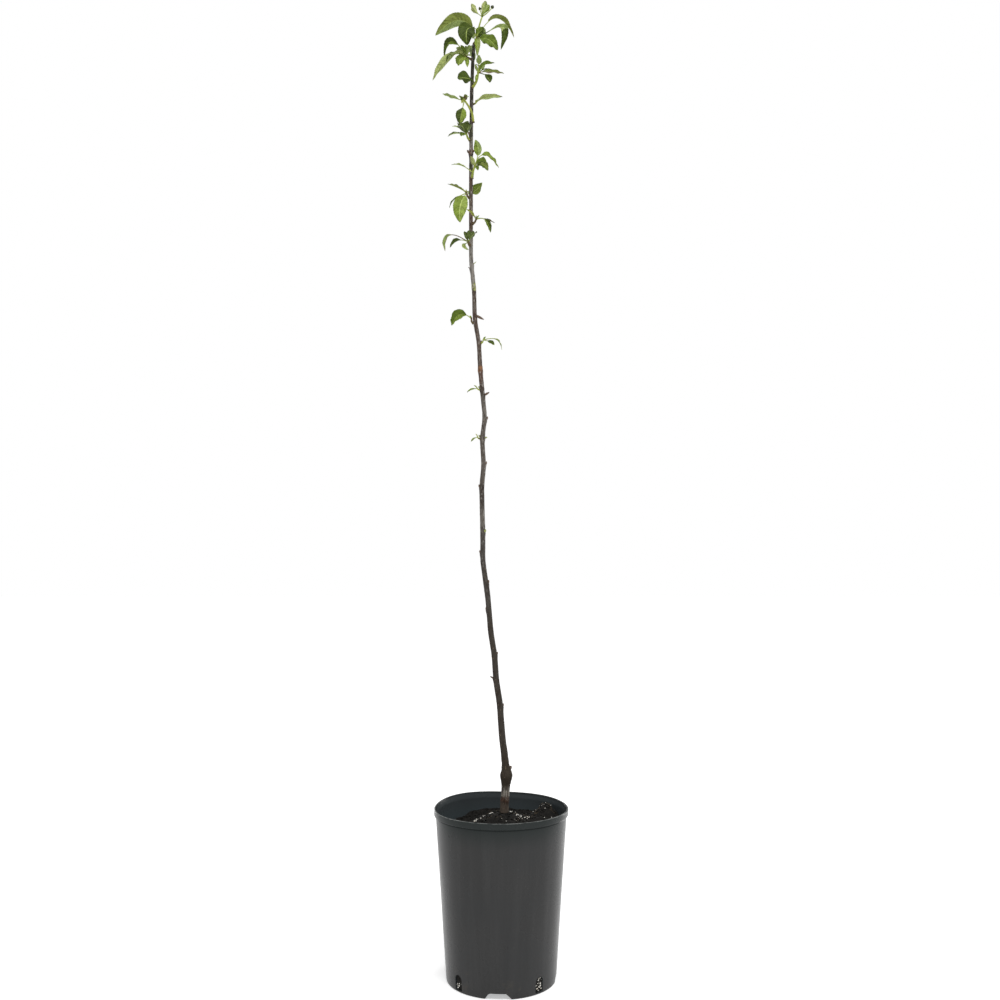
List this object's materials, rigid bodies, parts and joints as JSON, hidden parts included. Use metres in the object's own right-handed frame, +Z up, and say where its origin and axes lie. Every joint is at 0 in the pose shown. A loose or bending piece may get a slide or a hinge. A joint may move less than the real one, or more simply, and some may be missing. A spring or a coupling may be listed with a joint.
{
  "type": "potted young fruit tree",
  "caption": "Slender grafted young tree with sparse tufts of leaves on its upper third, standing in a tall round dark grey nursery pot filled with potting soil.",
  "frame": {"origin": "middle of the pot's flat underside, where it stands on the ground", "axes": "+Z up along the tree, +X to the right and -Y towards the viewer of the picture"},
  "size_m": [0.1817, 0.18, 1.3183],
  "materials": {
    "pot_plastic": "satin, moulded dark grey plastic",
    "potting_soil": "dull, dark crumbly potting soil with white perlite",
    "bark": "dull grey brown bark",
    "leaf_green": "satin green leaves and shoots"
  },
  "bodies": {
    "root": {"pot": "pot_plastic", "soil": "potting_soil", "trunk": "bark", "tuft_01": "leaf_green", "tuft_02": "leaf_green", "tuft_03": "leaf_green", "tuft_04": "leaf_green", "tuft_05": "leaf_green", "tuft_06": "leaf_green", "tuft_07": "leaf_green", "tuft_08": "leaf_green", "tuft_09": "leaf_green", "tuft_10": "leaf_green", "tuft_11": "leaf_green", "tuft_12": "leaf_green", "tuft_13": "leaf_green", "tuft_14": "leaf_green"}
  },
  "joints": []
}
